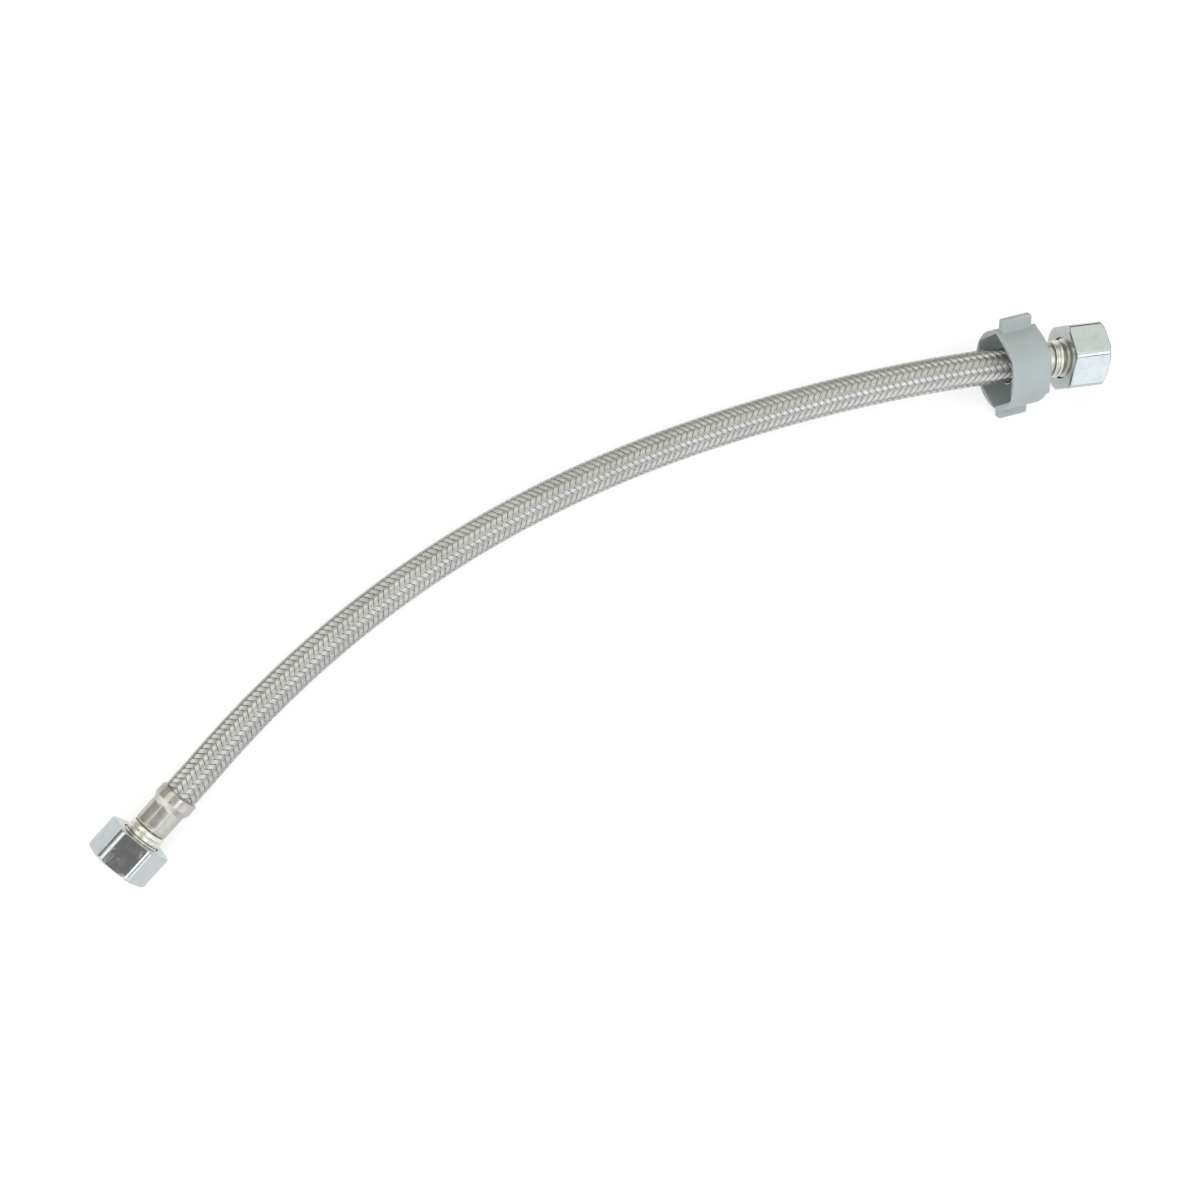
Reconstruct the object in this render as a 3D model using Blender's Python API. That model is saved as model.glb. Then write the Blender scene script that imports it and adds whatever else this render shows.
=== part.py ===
"""Braided flexible water connector, lying in a shallow arc on a flat surface.

A rubber water tube inside a woven steel sleeve is crimped at both ends on a barbed nipple by a
ferrule. A hexagon swivel nut turns on each nipple and holds a sealing washer. A plastic sleeve with
two wings slides over the right nut for tightening by hand.

Frame: metres, +Z up, the surface is z = 0, +X along the chord from the left nut to the right nut,
the arc bulges towards +Y.
"""
import bpy
import bmesh
from math import sin, cos, tan, pi, radians, hypot, atan2, floor
from mathutils import Vector, Matrix

MM = 0.001
GAP = 0.3                     # running and mating clearance

# ---------------------------------------------------------------- driving dimensions (mm, degrees)
HOSE_R = 6.85                 # outside of the woven sleeve
BRAID_WALL = 0.45
TUBE_WALL = 1.60
TUBE_BORE_R = 4.00            # bore of the tube where the nipple holds it open
CRIMP_HOSE_R = 5.95           # outside of the woven sleeve where the ferrule squeezes it

# the route of the hose's centre line, in plan: heading at arc length s is a cubic law, with an
# extra bend near the left ferrule, whose axis is turned from the free hose
ROUTE_START = (-180.726, 4.887)
ROUTE_LENGTH = 371.12
HEADING = (24.619, -0.140770, -2.827e-5, 2.213e-7)
LEFT_HEADING = 21.47
LEFT_BEND = 18.0
# heights of the centre line: the end fittings hold the hose's ends off the surface
LEFT_PITCH = 6.5
LEFT_NUT_DOWN = 12.56         # from the nut's axis to the corner it lies on, at its back edge
LEFT_DROP_LENGTH = 75.0
RIGHT_DROP_LENGTH = 130.0
RIGHT_AXIS_Z = 15.6

RINGS_FREE = 34               # cross sections along the free hose
TUBE_SIDES = 12

# axial places on an end fitting: 0 is the nut's back face, positive towards its open end
FER_END = -21.5               # end of the ferrule on the hose side
FER_STEP = -15.2              # where the crimped length ends
FER_START = -4.9
FER_LIP = 0.9
FER_R_CRIMP = 6.80
FER_BORE_CRIMP = CRIMP_HOSE_R + GAP
FER_R_FLARE = 7.90
FER_BORE_FLARE = HOSE_R + GAP
HOSE_IN = FER_START - FER_LIP - GAP

NIP_STEM_R = 3.70
NIP_BORE_R = 2.90
NIP_COLLAR_R = 7.60
NIP_HEAD_R = 9.20
NUT_AF = 24.0                 # across flats
NUT_LENGTH = 14.0
NUT_BACK = 2.6
NUT_BACK_HOLE_R = 7.90
NUT_BORE_R = 9.60
NUT_EDGE = 1.3
WASHER_R = 9.10
WASHER_HOLE_R = 5.00
WASHER_T = 2.60
LEFT_NUT_TURN = 7.7           # turn of the left nut's top flat from level, towards -Y
RIGHT_NUT_TURN = 12.0         # turn of the right nut's top corner from the vertical, towards -Y

SLV_R = 15.60
SLV_LENGTH = 15.6
SLV_AF = 26.6
SLV_BACK = 17.9               # from the middle of the right nut to the sleeve's end face
SLV_YAW = 7.0                 # the loose sleeve hangs turned from the nut's axis
SLV_SIDE = 2.1                # the sleeve's axis passes this far beside the nut's middle
SLV_TURN = 5.5                # turn of the hole's top corner from the vertical, towards -Y
SLV_ROUND = 2.0
WING_TIP_R = 20.3
WING_T = 3.2
WING_FROM, WING_TO = 1.9, 13.3
WING_ANGLE = 60.0             # wings stand on two opposite corners of the hexagonal hole


# ---------------------------------------------------------------- scene clean-up and helpers
for ob in list(bpy.data.objects):
    bpy.data.objects.remove(ob, do_unlink=True)

col = bpy.context.scene.collection


def material(name, rgb, rough, metal):
    m = bpy.data.materials.new(name)
    m.use_nodes = True
    b = m.node_tree.nodes["Principled BSDF"]
    b.inputs["Base Color"].default_value = (*rgb, 1.0)
    b.inputs["Roughness"].default_value = rough
    b.inputs["Metallic"].default_value = metal
    m.diffuse_color = (*rgb, 1.0)
    return m


MAT = {
    "braid_wire": material("braid_wire", (0.62, 0.63, 0.61), 0.35, 1.0),
    "ferrule_steel": material("ferrule_steel", (0.55, 0.54, 0.50), 0.28, 1.0),
    "nut_chrome": material("nut_chrome", (0.72, 0.74, 0.75), 0.08, 1.0),
    "nipple_brass": material("nipple_brass", (0.66, 0.64, 0.55), 0.25, 1.0),
    "tube_rubber": material("tube_rubber", (0.03, 0.03, 0.03), 0.60, 0.0),
    "washer_rubber": material("washer_rubber", (0.04, 0.04, 0.04), 0.55, 0.0),
    "sleeve_plastic": material("sleeve_plastic", (0.36, 0.42, 0.42), 0.45, 0.0),
}


def add(name, bm, mat, matrix=None, smooth=True, sharp=35.0):
    """Makes an object of the bmesh; the matrix (in mm) places it, scaled here to metres."""
    bmesh.ops.recalc_face_normals(bm, faces=bm.faces)
    bmesh.ops.scale(bm, vec=(MM, MM, MM), verts=bm.verts)
    me = bpy.data.meshes.new(name)
    bm.to_mesh(me)
    bm.free()
    if smooth:
        me.shade_smooth()
        me.set_sharp_from_angle(angle=radians(sharp))
    ob = bpy.data.objects.new(name, me)
    me.materials.append(MAT[mat])
    col.objects.link(ob)
    if matrix is not None:
        m = matrix.copy()
        m.translation = m.translation * MM
        ob.matrix_world = m
    return ob


def turned(profile, segments, stretch=None):
    """A closed profile [(axial, radius), ...] turned about the local X axis by bmesh spin.
    stretch(angle, axial, radius) may return another radius, as for a crimp's flats."""
    bm = bmesh.new()
    vs = [bm.verts.new((a, 0.0, r)) for a, r in profile]
    es = [bm.edges.new((vs[i], vs[(i + 1) % len(vs)])) for i in range(len(vs))]
    bmesh.ops.spin(bm, geom=vs + es, cent=(0, 0, 0), axis=(1, 0, 0), dvec=(0, 0, 0),
                   angle=2 * pi, steps=segments, use_merge=True)
    bmesh.ops.remove_doubles(bm, verts=bm.verts, dist=1e-4)
    if stretch:
        for v in bm.verts:
            r = hypot(v.co.y, v.co.z)
            th = atan2(v.co.y, v.co.z)
            k = stretch(th, v.co.x, r) / r
            v.co.y *= k
            v.co.z *= k
    return bm


def solid_of_revolution(profile, segments):
    """As turned, for a profile that starts and ends on the axis."""
    bm = bmesh.new()
    vs = [bm.verts.new((a, 0.0, r)) for a, r in profile]
    es = [bm.edges.new((vs[i], vs[i + 1])) for i in range(len(vs) - 1)]
    bmesh.ops.spin(bm, geom=vs + es, cent=(0, 0, 0), axis=(1, 0, 0), dvec=(0, 0, 0),
                   angle=2 * pi, steps=segments, use_merge=True)
    bmesh.ops.remove_doubles(bm, verts=bm.verts, dist=1e-4)
    return bm


def hex_prism(af, x0, x1, corner_up_turn, edge=0.0, segments=3):
    """A hexagonal prism along local X; the corner that stands at +Z is turned by the given angle."""
    bm = bmesh.new()
    r = af / 2 / cos(pi / 6)
    a0 = radians(corner_up_turn)
    ring = []
    for x in (x0, x1):
        ring.append([bm.verts.new((x, r * sin(a0 + i * pi / 3), r * cos(a0 + i * pi / 3)))
                     for i in range(6)])
    for i in range(6):
        bm.faces.new((ring[0][i], ring[0][(i + 1) % 6], ring[1][(i + 1) % 6], ring[1][i]))
    bm.faces.new(ring[0])
    bm.faces.new(ring[1])
    bmesh.ops.recalc_face_normals(bm, faces=bm.faces)
    if edge:
        longs = [e for e in bm.edges if abs(e.verts[0].co.x - e.verts[1].co.x) > 1e-3]
        bmesh.ops.bevel(bm, geom=longs, offset=edge, segments=segments, profile=0.5,
                        affect='EDGES')
    return bm


def cutter(ob):
    ob.hide_render = True
    ob.display_type = 'WIRE'
    return ob


def boolean(ob, tool, how):
    m = ob.modifiers.new(how.lower(), 'BOOLEAN')
    m.object = tool
    m.operation = how
    m.solver = 'EXACT'
    cutter(tool)


def axis_matrix(point, heading, pitch):
    """Local +X along the heading (from +X towards +Y) and pitch (up), local Z as near up."""
    h, p = radians(heading), radians(pitch)
    x = Vector((cos(h) * cos(p), sin(h) * cos(p), sin(p)))
    y = Vector((-sin(h), cos(h), 0.0))
    z = x.cross(y)
    m = Matrix.Identity(4)
    for i in range(3):
        m[i][0], m[i][1], m[i][2], m[i][3] = x[i], y[i], z[i], point[i]
    return m


# ---------------------------------------------------------------- the route
def heading(s):
    h = sum(c * s ** i for i, c in enumerate(HEADING))
    u = min(max(s / LEFT_BEND, 0.0), 1.0)
    return h - (HEADING[0] - LEFT_HEADING) * (1 - u * u * (3 - 2 * u))


LEFT_AXIS_Z0 = LEFT_NUT_DOWN * cos(radians(LEFT_PITCH))      # at the nut's back face
LEFT_Z = LEFT_AXIS_Z0 + FER_END * sin(radians(LEFT_PITCH))    # where the hose leaves the ferrule


def height(s):
    z = HOSE_R
    if s < LEFT_DROP_LENGTH:
        u = s / LEFT_DROP_LENGTH
        z = (LEFT_Z * (2 * u ** 3 - 3 * u ** 2 + 1)
             - LEFT_DROP_LENGTH * tan(radians(LEFT_PITCH)) * (u ** 3 - 2 * u ** 2 + u)
             + HOSE_R * (3 * u ** 2 - 2 * u ** 3))
    if s > ROUTE_LENGTH - RIGHT_DROP_LENGTH:
        u = (ROUTE_LENGTH - s) / RIGHT_DROP_LENGTH
        z = RIGHT_AXIS_Z + (HOSE_R - RIGHT_AXIS_Z) * u * u * (3 - 2 * u)
    return z


def plan_points(count):
    """Points of the free hose at equal steps of plan arc length, by fine midpoint steps."""
    fine = 40
    x, y = ROUTE_START
    pts = [(x, y, height(0.0))]
    ds = ROUTE_LENGTH / (count * fine)
    for i in range(count * fine):
        h = radians(heading((i + 0.5) * ds))
        x += cos(h) * ds
        y += sin(h) * ds
        if (i + 1) % fine == 0:
            pts.append((x, y, height((i + 1) * ds)))
    return [Vector(p) for p in pts]


free = plan_points(RINGS_FREE)
RIGHT_HEADING = heading(ROUTE_LENGTH)

# fitting frames: local +X points out of the nut's open end, origin at the nut's back face
lh, lp = radians(LEFT_HEADING), radians(LEFT_PITCH)
inward = Vector((cos(lh) * cos(lp), sin(lh) * cos(lp), -sin(lp)))
left_origin = free[0] - inward * (-FER_END)
LEFT = axis_matrix(left_origin, LEFT_HEADING + 180.0, LEFT_PITCH)
rh = radians(RIGHT_HEADING)
right_origin = free[-1] + Vector((cos(rh), sin(rh), 0.0)) * (-FER_END)
RIGHT = axis_matrix(right_origin, RIGHT_HEADING, 0.0)


def hose_path():
    """(point, squeeze) along the whole hose; squeeze is 1 inside the crimped length."""
    out = []
    ends = [HOSE_IN, -10.0, FER_STEP + 0.4, FER_STEP - 1.6]
    for a in ends:
        out.append((LEFT @ Vector((a, 0, 0)), 1.0 if a > FER_STEP else 0.0))
    for p in free:
        out.append((p, 0.0))
    for a in reversed(ends):
        out.append((RIGHT @ Vector((a, 0, 0)), 1.0 if a > FER_STEP else 0.0))
    return out


def swept_pipe(outer, inner, sides):
    """A pipe swept along the hose's path; outer and inner give the radius for a squeeze value."""
    path = hose_path()
    n = len(path)
    bm = bmesh.new()
    rows = []
    for i, (p, q) in enumerate(path):
        a = path[max(i - 1, 0)][0]
        b = path[min(i + 1, n - 1)][0]
        t = (b - a).normalized()
        side = Vector((0, 0, 1)).cross(t).normalized()
        up = t.cross(side)
        row = []
        for r in (outer(q), inner(q)):
            row.append([bm.verts.new(p + side * (r * sin(2 * pi * k / sides))
                                     - up * (r * cos(2 * pi * k / sides)))
                        for k in range(sides)])
        rows.append(row)
    for i in range(n - 1):
        for w in (0, 1):
            for k in range(sides):
                k2 = (k + 1) % sides
                bm.faces.new((rows[i][w][k], rows[i][w][k2], rows[i + 1][w][k2], rows[i + 1][w][k]))
    for i in (0, n - 1):
        for k in range(sides):
            k2 = (k + 1) % sides
            bm.faces.new((rows[i][0][k], rows[i][0][k2], rows[i][1][k2], rows[i][1][k]))
    return bm


add("steel_braid", swept_pipe(lambda q: HOSE_R + (CRIMP_HOSE_R - HOSE_R) * q,
                              lambda q: HOSE_R - BRAID_WALL + (CRIMP_HOSE_R - HOSE_R) * q,
                              TUBE_SIDES), "braid_wire")
tube_out = HOSE_R - BRAID_WALL - GAP
add("inner_tube", swept_pipe(lambda q: tube_out + (CRIMP_HOSE_R - HOSE_R) * q,
                             lambda q: (tube_out - TUBE_WALL) * (1 - q) + TUBE_BORE_R * q,
                             TUBE_SIDES), "tube_rubber")


# ---------------------------------------------------------------- end fittings
def crimp_flats(th, a, r):
    """Eight long flats pressed into the crimped length, fading out at its ends."""
    if a < FER_STEP - 0.05 or a > FER_START - 0.4 or r < FER_BORE_CRIMP + 0.1:
        return r
    span = 2 * pi / 8
    d = (th / span - floor(th / span + 0.5)) * span
    flat = (FER_R_CRIMP - 0.02) / max(cos(d), 1e-6)
    return min(flat, FER_R_CRIMP + 0.35)


def nipple_profile():
    barbs = []
    a = FER_START - 1.6
    while a > FER_END + 3.5:                      # saw-tooth barbs along the stem
        barbs += [(a, NIP_STEM_R - 0.35), (a - 2.4, NIP_STEM_R)]
        a -= 2.8
    end = FER_END + 1.0
    outer = [(NUT_BACK + GAP + 1.9, NIP_HEAD_R - 0.3), (NUT_BACK + GAP + 1.6, NIP_HEAD_R),
             (NUT_BACK + GAP, NIP_HEAD_R), (NUT_BACK + GAP, NIP_COLLAR_R - 0.05),
             (-0.5, NIP_COLLAR_R - 0.05),
             (-0.5, NIP_COLLAR_R), (-1.8, NIP_COLLAR_R), (-2.0, 6.75), (-2.6, 6.75),
             (-2.8, 7.35), (-4.2, 7.35), (-4.6, 6.95),
             (-4.6, NIP_STEM_R - 0.35)]
    outer = [p for i, p in enumerate(outer) if i not in (4,)]
    return outer + barbs + [(end, NIP_STEM_R - 0.5), (end, NIP_BORE_R),
                            (NUT_BACK + GAP + 1.9, NIP_BORE_R)]


def nut(name, frame, turn):
    r = NUT_AF / 2
    blank = turned([(0.0, NUT_BACK_HOLE_R), (0.0, r + 0.1), (0.35, r + 0.8), (0.95, r + 1.4),
                    (1.9, r + 2.1), (NUT_LENGTH - 1.9, r + 2.1), (NUT_LENGTH - 0.95, r + 1.4),
                    (NUT_LENGTH - 0.35, r + 0.8), (NUT_LENGTH, r), (NUT_LENGTH, 10.5), (NUT_LENGTH - 0.9, NUT_BORE_R),
                    (NUT_BACK, NUT_BORE_R), (NUT_BACK, NUT_BACK_HOLE_R)], 48)
    ob = add(name, blank, "nut_chrome", frame)
    tool = add(name + "_hexagon", hex_prism(NUT_AF, -1.0, NUT_LENGTH + 1.0, turn, NUT_EDGE, 2),
               "nut_chrome", frame)
    boolean(ob, tool, 'INTERSECT')
    return ob


def fitting(side, frame, turn):
    add(side + "_ferrule", turned([(FER_END, FER_BORE_FLARE), (FER_END, FER_R_FLARE - 0.25),
                                   (FER_END + 0.3, FER_R_FLARE), (FER_STEP - 0.7, FER_R_FLARE),
                                   (FER_STEP, FER_R_CRIMP + 0.05), (FER_STEP + 0.6, FER_R_CRIMP),
                                   (FER_START - 0.9, FER_R_CRIMP), (FER_START, FER_R_CRIMP - 0.4),
                                   (FER_START, NIP_STEM_R + 0.4),
                                   (FER_START - FER_LIP, NIP_STEM_R + 0.4),
                                   (FER_START - FER_LIP, FER_BORE_CRIMP),
                                   (FER_STEP + 0.2, FER_BORE_CRIMP),
                                   (FER_STEP - 0.9, FER_BORE_FLARE)], 32, crimp_flats),
        "ferrule_steel", frame)
    add(side + "_nipple", turned(nipple_profile(), 24), "nipple_brass", frame)
    w0 = NUT_BACK + GAP + 1.9 + GAP
    add(side + "_washer", turned([(w0, WASHER_HOLE_R), (w0, WASHER_R - 0.2), (w0 + 0.2, WASHER_R),
                                  (w0 + WASHER_T - 0.2, WASHER_R), (w0 + WASHER_T, WASHER_R - 0.2),
                                  (w0 + WASHER_T, WASHER_HOLE_R)], 32), "washer_rubber", frame)
    nut(side + "_nut", frame, turn)


# the left nut's flats are nearly level; its frame's +Y points to -Y of the part
fitting("left", LEFT, 30.0 + LEFT_NUT_TURN)
# the right nut's top corner is turned towards -Y
fitting("right", RIGHT, -RIGHT_NUT_TURN)


# ---------------------------------------------------------------- the winged sleeve
nut_middle = RIGHT @ Vector((NUT_LENGTH / 2, 0, 0))
sh = radians(RIGHT_HEADING + SLV_YAW)
slv_end = (nut_middle - Vector((cos(sh), sin(sh), 0.0)) * SLV_BACK
           + Vector((-sin(sh), cos(sh), 0.0)) * SLV_SIDE)
# local +X points along the sleeve towards the nut, origin at the hose-side face
slv_origin = slv_end - Vector((cos(sh), sin(sh), 0.0)) * SLV_LENGTH
SLEEVE = axis_matrix(slv_origin, RIGHT_HEADING + SLV_YAW, 0.0)

barrel = solid_of_revolution(
    [(0.0, 0.0), (0.0, SLV_R - 0.9), (0.25, SLV_R - 0.25), (0.9, SLV_R),
     (SLV_LENGTH - SLV_ROUND, SLV_R),
     (SLV_LENGTH - SLV_ROUND * 0.5, SLV_R - SLV_ROUND * 0.134),
     (SLV_LENGTH - SLV_ROUND * 0.134, SLV_R - SLV_ROUND * 0.5),
     (SLV_LENGTH, SLV_R - SLV_ROUND), (SLV_LENGTH, 0.0)], 48)
sleeve = add("wing_sleeve", barrel, "sleeve_plastic", SLEEVE)

wings = bmesh.new()
bmesh.ops.create_cube(wings, size=1.0)
bmesh.ops.scale(wings, vec=(WING_TO - WING_FROM, WING_T, 2 * WING_TIP_R), verts=wings.verts)
bmesh.ops.translate(wings, vec=((WING_TO + WING_FROM) / 2, 0, 0), verts=wings.verts)
bmesh.ops.bevel(wings, geom=list(wings.edges), offset=0.7, segments=2, profile=0.5,
                affect='EDGES')
# the wings stand on the corners 60 degrees from the top corner, on the +Y side for the upper one
bmesh.ops.rotate(wings, cent=(0, 0, 0), verts=wings.verts,
                 matrix=Matrix.Rotation(radians(SLV_TURN - WING_ANGLE), 3, 'X'))
wing_tool = add("wing_sleeve_wings", wings, "sleeve_plastic", SLEEVE)
boolean(sleeve, wing_tool, 'UNION')
hole = add("wing_sleeve_hole", hex_prism(SLV_AF, -2.0, SLV_LENGTH + 2.0, -SLV_TURN, 0.5, 2),
           "sleeve_plastic", SLEEVE)
boolean(sleeve, hole, 'DIFFERENCE')
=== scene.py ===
"""Braided flexible water connector on a pale floor: woven steel sleeve over a rubber tube, crimped
ferrules, two hexagon swivel nuts and a loose winged plastic sleeve. Metres, the CAD frame."""
import bpy
import numpy as np
from math import sin, cos, tan, pi, radians, hypot, sqrt
from mathutils import Vector, Matrix


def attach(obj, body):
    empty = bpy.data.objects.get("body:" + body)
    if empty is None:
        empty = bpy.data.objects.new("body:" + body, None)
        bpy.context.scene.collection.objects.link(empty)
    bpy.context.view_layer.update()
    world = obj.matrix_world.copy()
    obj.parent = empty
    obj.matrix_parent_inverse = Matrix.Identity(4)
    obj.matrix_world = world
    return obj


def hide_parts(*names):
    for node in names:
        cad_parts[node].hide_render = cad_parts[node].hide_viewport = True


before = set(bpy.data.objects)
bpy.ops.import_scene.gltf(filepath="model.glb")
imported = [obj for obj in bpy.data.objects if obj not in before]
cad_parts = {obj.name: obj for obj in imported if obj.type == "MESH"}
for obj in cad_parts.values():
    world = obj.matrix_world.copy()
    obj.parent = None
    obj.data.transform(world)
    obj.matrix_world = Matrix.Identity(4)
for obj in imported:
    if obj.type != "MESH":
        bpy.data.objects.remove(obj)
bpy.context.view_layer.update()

MM = 0.001

# ---------------------------------------------------------------- camera
cam_data = bpy.data.cameras.new("camera")
cam_data.sensor_fit = 'HORIZONTAL'
cam_data.sensor_width = 36.0
cam_data.lens = 36.0
cam_data.shift_x = 0.0583
cam_data.shift_y = 0.05
cam_data.clip_start = 0.01
cam_data.clip_end = 20.0
cam = bpy.data.objects.new("camera", cam_data)
bpy.context.scene.collection.objects.link(cam)
right = Vector((0.885434, -0.463570, 0.033308))
down = Vector((-0.463112, -0.886055, -0.020817))
ahead = Vector((0.039163, 0.003007, -0.999228))
place = Vector((-0.0560408, -0.0129879, 0.4757351))
cam.matrix_world = Matrix(((right.x, -down.x, -ahead.x, place.x),
                           (right.y, -down.y, -ahead.y, place.y),
                           (right.z, -down.z, -ahead.z, place.z),
                           (0, 0, 0, 1)))
bpy.context.scene.camera = cam

# ---------------------------------------------------------------- the hose's route (mm), as in the CAD
HOSE_R = 6.85
CRIMP_HOSE_R = 5.95
ROUTE_START = (-180.726, 4.887)
ROUTE_LENGTH = 371.12
HEADING = (24.619, -0.140770, -2.827e-5, 2.213e-7)
LEFT_HEADING = 21.47
LEFT_BEND = 18.0
LEFT_PITCH = 6.5
LEFT_NUT_DOWN = 12.56
LEFT_DROP_LENGTH = 75.0
RIGHT_DROP_LENGTH = 130.0
RIGHT_AXIS_Z = 15.6
FER_END, FER_STEP, FER_START = -21.5, -15.2, -4.9
HOSE_IN = FER_START - 0.9 - 0.3


def heading(s):
    h = sum(c * s ** i for i, c in enumerate(HEADING))
    u = min(max(s / LEFT_BEND, 0.0), 1.0)
    return h - (HEADING[0] - LEFT_HEADING) * (1 - u * u * (3 - 2 * u))


LEFT_AXIS_Z0 = LEFT_NUT_DOWN * cos(radians(LEFT_PITCH))
LEFT_Z = LEFT_AXIS_Z0 + FER_END * sin(radians(LEFT_PITCH))


def height(s):
    z = HOSE_R
    if s < LEFT_DROP_LENGTH:
        u = s / LEFT_DROP_LENGTH
        z = (LEFT_Z * (2 * u ** 3 - 3 * u ** 2 + 1)
             - LEFT_DROP_LENGTH * tan(radians(LEFT_PITCH)) * (u ** 3 - 2 * u ** 2 + u)
             + HOSE_R * (3 * u ** 2 - 2 * u ** 3))
    if s > ROUTE_LENGTH - RIGHT_DROP_LENGTH:
        u = (ROUTE_LENGTH - s) / RIGHT_DROP_LENGTH
        z = RIGHT_AXIS_Z + (HOSE_R - RIGHT_AXIS_Z) * u * u * (3 - 2 * u)
    return z


def plan_points(count, fine):
    x, y = ROUTE_START
    pts = [(x, y, height(0.0))]
    ds = ROUTE_LENGTH / (count * fine)
    for i in range(count * fine):
        h = radians(heading((i + 0.5) * ds))
        x += cos(h) * ds
        y += sin(h) * ds
        if (i + 1) % fine == 0:
            pts.append((x, y, height((i + 1) * ds)))
    return [Vector(p) for p in pts]


def axis_matrix(point, heading_deg, pitch_deg):
    h, p = radians(heading_deg), radians(pitch_deg)
    x = Vector((cos(h) * cos(p), sin(h) * cos(p), sin(p)))
    y = Vector((-sin(h), cos(h), 0.0))
    z = x.cross(y)
    m = Matrix.Identity(4)
    for i in range(3):
        m[i][0], m[i][1], m[i][2], m[i][3] = x[i], y[i], z[i], point[i]
    return m


free = plan_points(340, 4)
RIGHT_HEADING = heading(ROUTE_LENGTH)
lh, lp = radians(LEFT_HEADING), radians(LEFT_PITCH)
LEFT = axis_matrix(free[0] - Vector((cos(lh) * cos(lp), sin(lh) * cos(lp), -sin(lp))) * (-FER_END),
                   LEFT_HEADING + 180.0, LEFT_PITCH)
rh = radians(RIGHT_HEADING)
RIGHT = axis_matrix(free[-1] + Vector((cos(rh), sin(rh), 0.0)) * (-FER_END), RIGHT_HEADING, 0.0)
NUT_LENGTH = 14.0
nut_middle = RIGHT @ Vector((NUT_LENGTH / 2, 0, 0))
SLV_LENGTH, SLV_BACK, SLV_YAW, SLV_SIDE = 15.6, 17.9, 7.0, 2.1
sh = radians(RIGHT_HEADING + SLV_YAW)
SLEEVE = axis_matrix(nut_middle - Vector((cos(sh), sin(sh), 0.0)) * (SLV_BACK + SLV_LENGTH)
                     + Vector((-sin(sh), cos(sh), 0.0)) * SLV_SIDE, RIGHT_HEADING + SLV_YAW, 0.0)

# the whole hose: straight lengths inside the ferrules at both ends
line, squeeze = [], []
inside = np.linspace(HOSE_IN, FER_END, 16)[:-1]


def squeezed(a):
    u = min(max((a - (FER_STEP - 1.6)) / 2.0, 0.0), 1.0)
    return u * u * (3 - 2 * u)


for a in inside:
    line.append(LEFT @ Vector((a, 0, 0)))
    squeeze.append(squeezed(a))
for p in free:
    line.append(p)
    squeeze.append(0.0)
for a in reversed(inside):
    line.append(RIGHT @ Vector((a, 0, 0)))
    squeeze.append(squeezed(a))
LINE = np.array([tuple(p) for p in line])
SQUEEZE = np.array(squeeze)
STEPS = np.linalg.norm(np.diff(LINE, axis=0), axis=1)
ARC = np.concatenate([[0.0], np.cumsum(STEPS)])
HOSE_LENGTH = float(ARC[-1])
TAN = np.gradient(LINE, ARC, axis=0)
TAN /= np.linalg.norm(TAN, axis=1)[:, None]
SIDE = np.cross([0.0, 0.0, 1.0], TAN)
SIDE /= np.linalg.norm(SIDE, axis=1)[:, None]
UP = np.cross(TAN, SIDE)


def on_hose(s, phi, r):
    """Points at arc length s, angle phi from the hose's upper side and radius r, in mm."""
    s = np.clip(s, 0.0, HOSE_LENGTH)
    out = np.empty(s.shape + (3,))
    c, sn = np.cos(phi), np.sin(phi)
    drop = (HOSE_R - CRIMP_HOSE_R) * np.interp(s, ARC, SQUEEZE)
    for k in range(3):
        out[..., k] = (np.interp(s, ARC, LINE[:, k])
                       + (r - drop) * (np.interp(s, ARC, UP[:, k]) * c
                                       + np.interp(s, ARC, SIDE[:, k]) * sn))
    return out


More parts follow.
